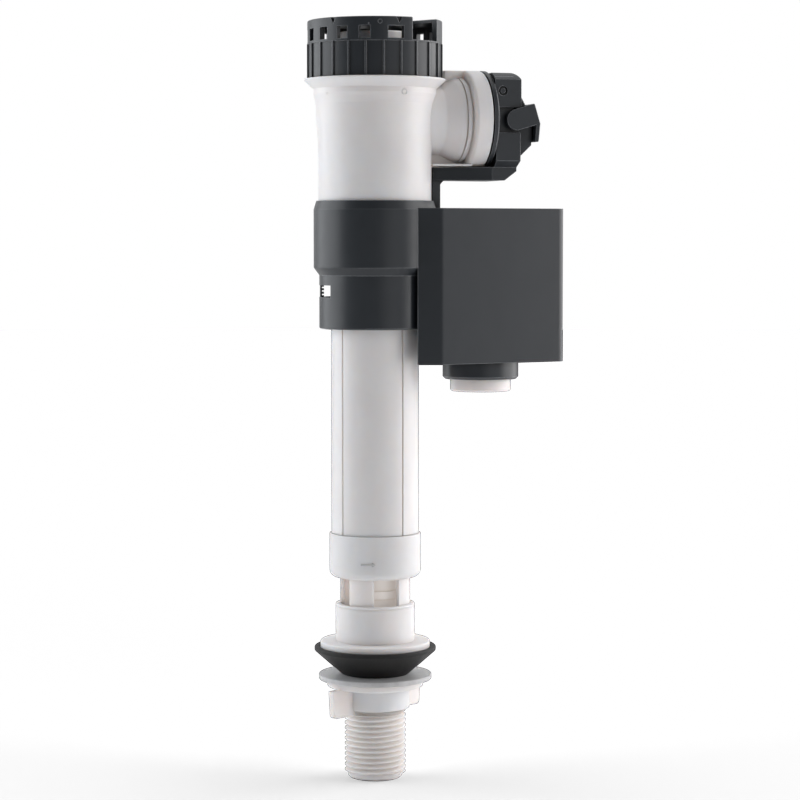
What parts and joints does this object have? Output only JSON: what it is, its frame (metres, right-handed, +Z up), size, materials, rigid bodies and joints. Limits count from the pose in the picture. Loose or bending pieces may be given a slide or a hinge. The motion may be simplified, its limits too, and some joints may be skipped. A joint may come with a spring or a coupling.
{
  "type": "toilet fill valve",
  "caption": "Bottom-inlet toilet fill valve: threaded shank with seal and wing nut, telescopic column, side-arm valve head with pilot lever, float cup and air-vent cap.",
  "frame": {"origin": "on the column's axis, in the plane where the cone seal meets the cistern floor", "axes": "+Z up along the column, +X along the side arm towards the valve head and cup"},
  "size_m": [0.09, 0.0482, 0.2602],
  "materials": {
    "white_plastic": "satin moulded",
    "dark_plastic": "satin moulded",
    "black_rubber": "matt",
    "clear_plastic": "translucent"
  },
  "bodies": {
    "base": {"threaded_base": "white_plastic", "inlet_strainer": "white_plastic", "flow_regulator": "dark_plastic", "seal_cone": "black_rubber", "outlet_cage": "white_plastic", "lower_riser": "white_plastic", "riser_o_ring": "black_rubber"},
    "washer": {"friction_washer": "clear_plastic"},
    "nut": {"wing_nut": "white_plastic"},
    "column": {"outer_tube": "white_plastic", "valve_body": "white_plastic", "riser_elbow": "white_plastic", "diaphragm": "black_rubber", "diaphragm_plate": "white_plastic", "cover_seal": "black_rubber", "valve_cover": "dark_plastic", "pivot_pin": "dark_plastic", "vent_insert": "white_plastic", "vent_membrane": "black_rubber"},
    "lock_ring": {"lock_ring": "white_plastic"},
    "cap": {"vent_cap": "dark_plastic"},
    "lever": {"pilot_lever": "dark_plastic", "float_rod": "dark_plastic", "pilot_seal": "black_rubber", "seal_holder": "dark_plastic"},
    "clip": {"seal_clip": "dark_plastic"},
    "cup": {"float_cup": "dark_plastic", "cup_latch": "dark_plastic", "drain_seat": "dark_plastic"},
    "float": {"inner_float": "white_plastic"},
    "drain": {"drain_float": "white_plastic", "drain_seal": "black_rubber"}
  },
  "joints": [
    {"name": "washer_slide", "type": "slide", "parent": "base", "child": "washer", "axis": [0, 0, -1], "range_m": [0, 0.02]},
    {"name": "nut_turn", "type": "hinge", "parent": "washer", "child": "nut", "pos_m": [0, 0, -0.008], "axis": [0, 0, -1], "range_deg": [0, 3960]},
    {"name": "height_slide", "type": "slide", "parent": "base", "child": "column", "axis": [0, 0, 1], "range_m": [0, 0.06]},
    {"name": "lock_twist", "type": "hinge", "parent": "column", "child": "lock_ring", "pos_m": [0, 0, 0.0418], "axis": [0, 0, 1], "range_deg": [0, 35]},
    {"name": "cap_twist", "type": "hinge", "parent": "column", "child": "cap", "pos_m": [0, 0, 0.21], "axis": [0, 0, 1], "range_deg": [0, 35]},
    {"name": "level_slide", "type": "slide", "parent": "column", "child": "cup", "axis": [0, 0, -1], "range_m": [0, 0.012]},
    {"name": "float_drop", "type": "slide", "parent": "cup", "child": "float", "axis": [0, 0, -1], "range_m": [0, 0.00225]},
    {"name": "lever_open", "type": "hinge", "parent": "column", "child": "lever", "pos_m": [0.0422, 0, 0.2006], "axis": [0, -1, 0], "range_deg": [0, 6]},
    {"name": "clip_lift", "type": "hinge", "parent": "lever", "child": "clip", "pos_m": [0.0467, 0, 0.19075], "axis": [0, -1, 0], "range_deg": [0, 8]},
    {"name": "drain_lift", "type": "slide", "parent": "cup", "child": "drain", "axis": [0, 0, 1], "range_m": [0, 0.004]}
  ],
  "couplings": [
    {"joint": "washer_slide", "follows": "nut_turn", "m_per_rad": 0.00028871},
    {"joint": "lever_open", "follows": "float_drop", "rad_per_m": 46.5}
  ]
}
